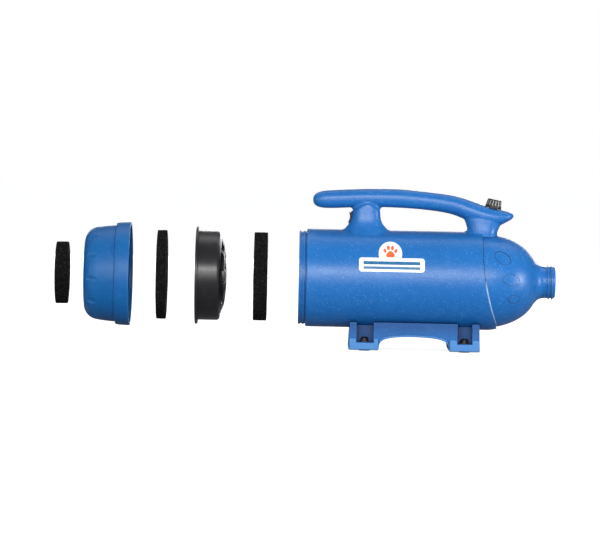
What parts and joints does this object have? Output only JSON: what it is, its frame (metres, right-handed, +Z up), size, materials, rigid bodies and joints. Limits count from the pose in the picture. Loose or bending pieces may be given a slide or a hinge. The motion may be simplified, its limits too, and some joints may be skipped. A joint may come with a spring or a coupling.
{
  "type": "pet dryer",
  "caption": "Portable barrel pet dryer with carrying handle, foot cradle, hose collar, speed knob, motor inside and a take-apart rear intake of cap, foam discs and filter cup.",
  "frame": {"origin": "middle of the pulled-apart length and width, on the floor under the rubber feet", "axes": "+X along the barrel towards the hose outlet, +Z up, the labelled side faces -Y"},
  "size_m": [0.7902, 0.1636, 0.2542],
  "materials": {
    "blue_shell": "fine moulded texture",
    "black_cup": "satin gloss",
    "black_knob": "fine moulded texture",
    "black_screw": "black oxide",
    "foam": "open-cell reticulated foam",
    "rubber": "matt",
    "label": "printed vinyl",
    "steel": "machined",
    "lamination": "varnished electrical steel",
    "copper": "enamelled copper wire",
    "brass": "plain",
    "carbon": "pressed carbon",
    "aluminium": "die cast",
    "board": "solder mask",
    "wire": "insulated wire"
  },
  "bodies": {
    "housing": {"body_shell": "blue_shell", "nose_shell": "blue_shell", "nose_seal": "rubber", "base_cradle": "blue_shell", "cradle_screws": "black_screw", "foot_screws": "black_screw", "rubber_feet": "rubber", "front_label": "label", "switch_housing": "black_knob", "switch_terminals": "brass", "power_inlet": "black_knob", "inlet_pins": "brass", "potentiometer_body": "steel", "pot_nut": "steel", "speed_control_board": "board", "triac_heat_sink": "aluminium", "motor_plate": "black_cup", "plate_screws": "black_screw", "intake_gasket": "rubber", "fan_housing": "steel", "diffuser": "black_cup", "fan_end_bracket": "aluminium", "motor_bearings": "steel", "stator_core": "lamination", "field_coils": "copper", "brush_end_bracket": "aluminium", "brush_holders": "brass", "carbon_brushes": "carbon", "brush_springs": "steel", "motor_bolts": "steel", "front_rubber_mount": "rubber", "motor_spider": "black_cup", "tie_screws": "black_screw", "wiring_harness": "wire"},
    "rotor": {"impeller": "aluminium", "fan_nut": "steel", "armature_core": "lamination", "armature_windings": "copper", "commutator": "brass", "motor_shaft": "steel"},
    "speed_dial": {"speed_knob": "black_knob", "pot_shaft": "steel"},
    "rocker": {"power_rocker": "black_knob"},
    "inner_foam": {"inner_foam_disc": "foam"},
    "cup": {"filter_cup": "black_cup"},
    "outer_foam": {"outer_foam_disc": "foam"},
    "cap": {"rear_cap": "blue_shell"},
    "prefilter": {"prefilter_foam": "foam"}
  },
  "joints": [
    {"name": "inner_foam_slide", "type": "slide", "parent": "housing", "child": "inner_foam", "axis": [1, 0, 0], "range_m": [0, 0.1163]},
    {"name": "filter_cup_slide", "type": "slide", "parent": "inner_foam", "child": "cup", "axis": [1, 0, 0], "range_m": [0, 0.0421]},
    {"name": "outer_foam_slide", "type": "slide", "parent": "cup", "child": "outer_foam", "axis": [1, 0, 0], "range_m": [0, 0.0457]},
    {"name": "rear_cap_slide", "type": "slide", "parent": "outer_foam", "child": "cap", "axis": [1, 0, 0], "range_m": [0, 0.0774]},
    {"name": "prefilter_slide", "type": "slide", "parent": "cap", "child": "prefilter", "axis": [1, 0, 0], "range_m": [0, 0.0462]},
    {"name": "rotor_spin", "type": "hinge", "parent": "housing", "child": "rotor", "pos_m": [0.1491, 0, 0.1115], "axis": [1, 0, 0], "continuous": true},
    {"name": "speed_knob_turn", "type": "hinge", "parent": "housing", "child": "speed_dial", "pos_m": [0.2943, 0, 0.2265], "axis": [0.1908, 0, 0.9816], "range_deg": [0, 270]},
    {"name": "power_rocker_tilt", "type": "hinge", "parent": "housing", "child": "rocker", "pos_m": [0.07106, 0, 0.20794], "axis": [0, 1, 0], "range_deg": [0, 14]}
  ]
}
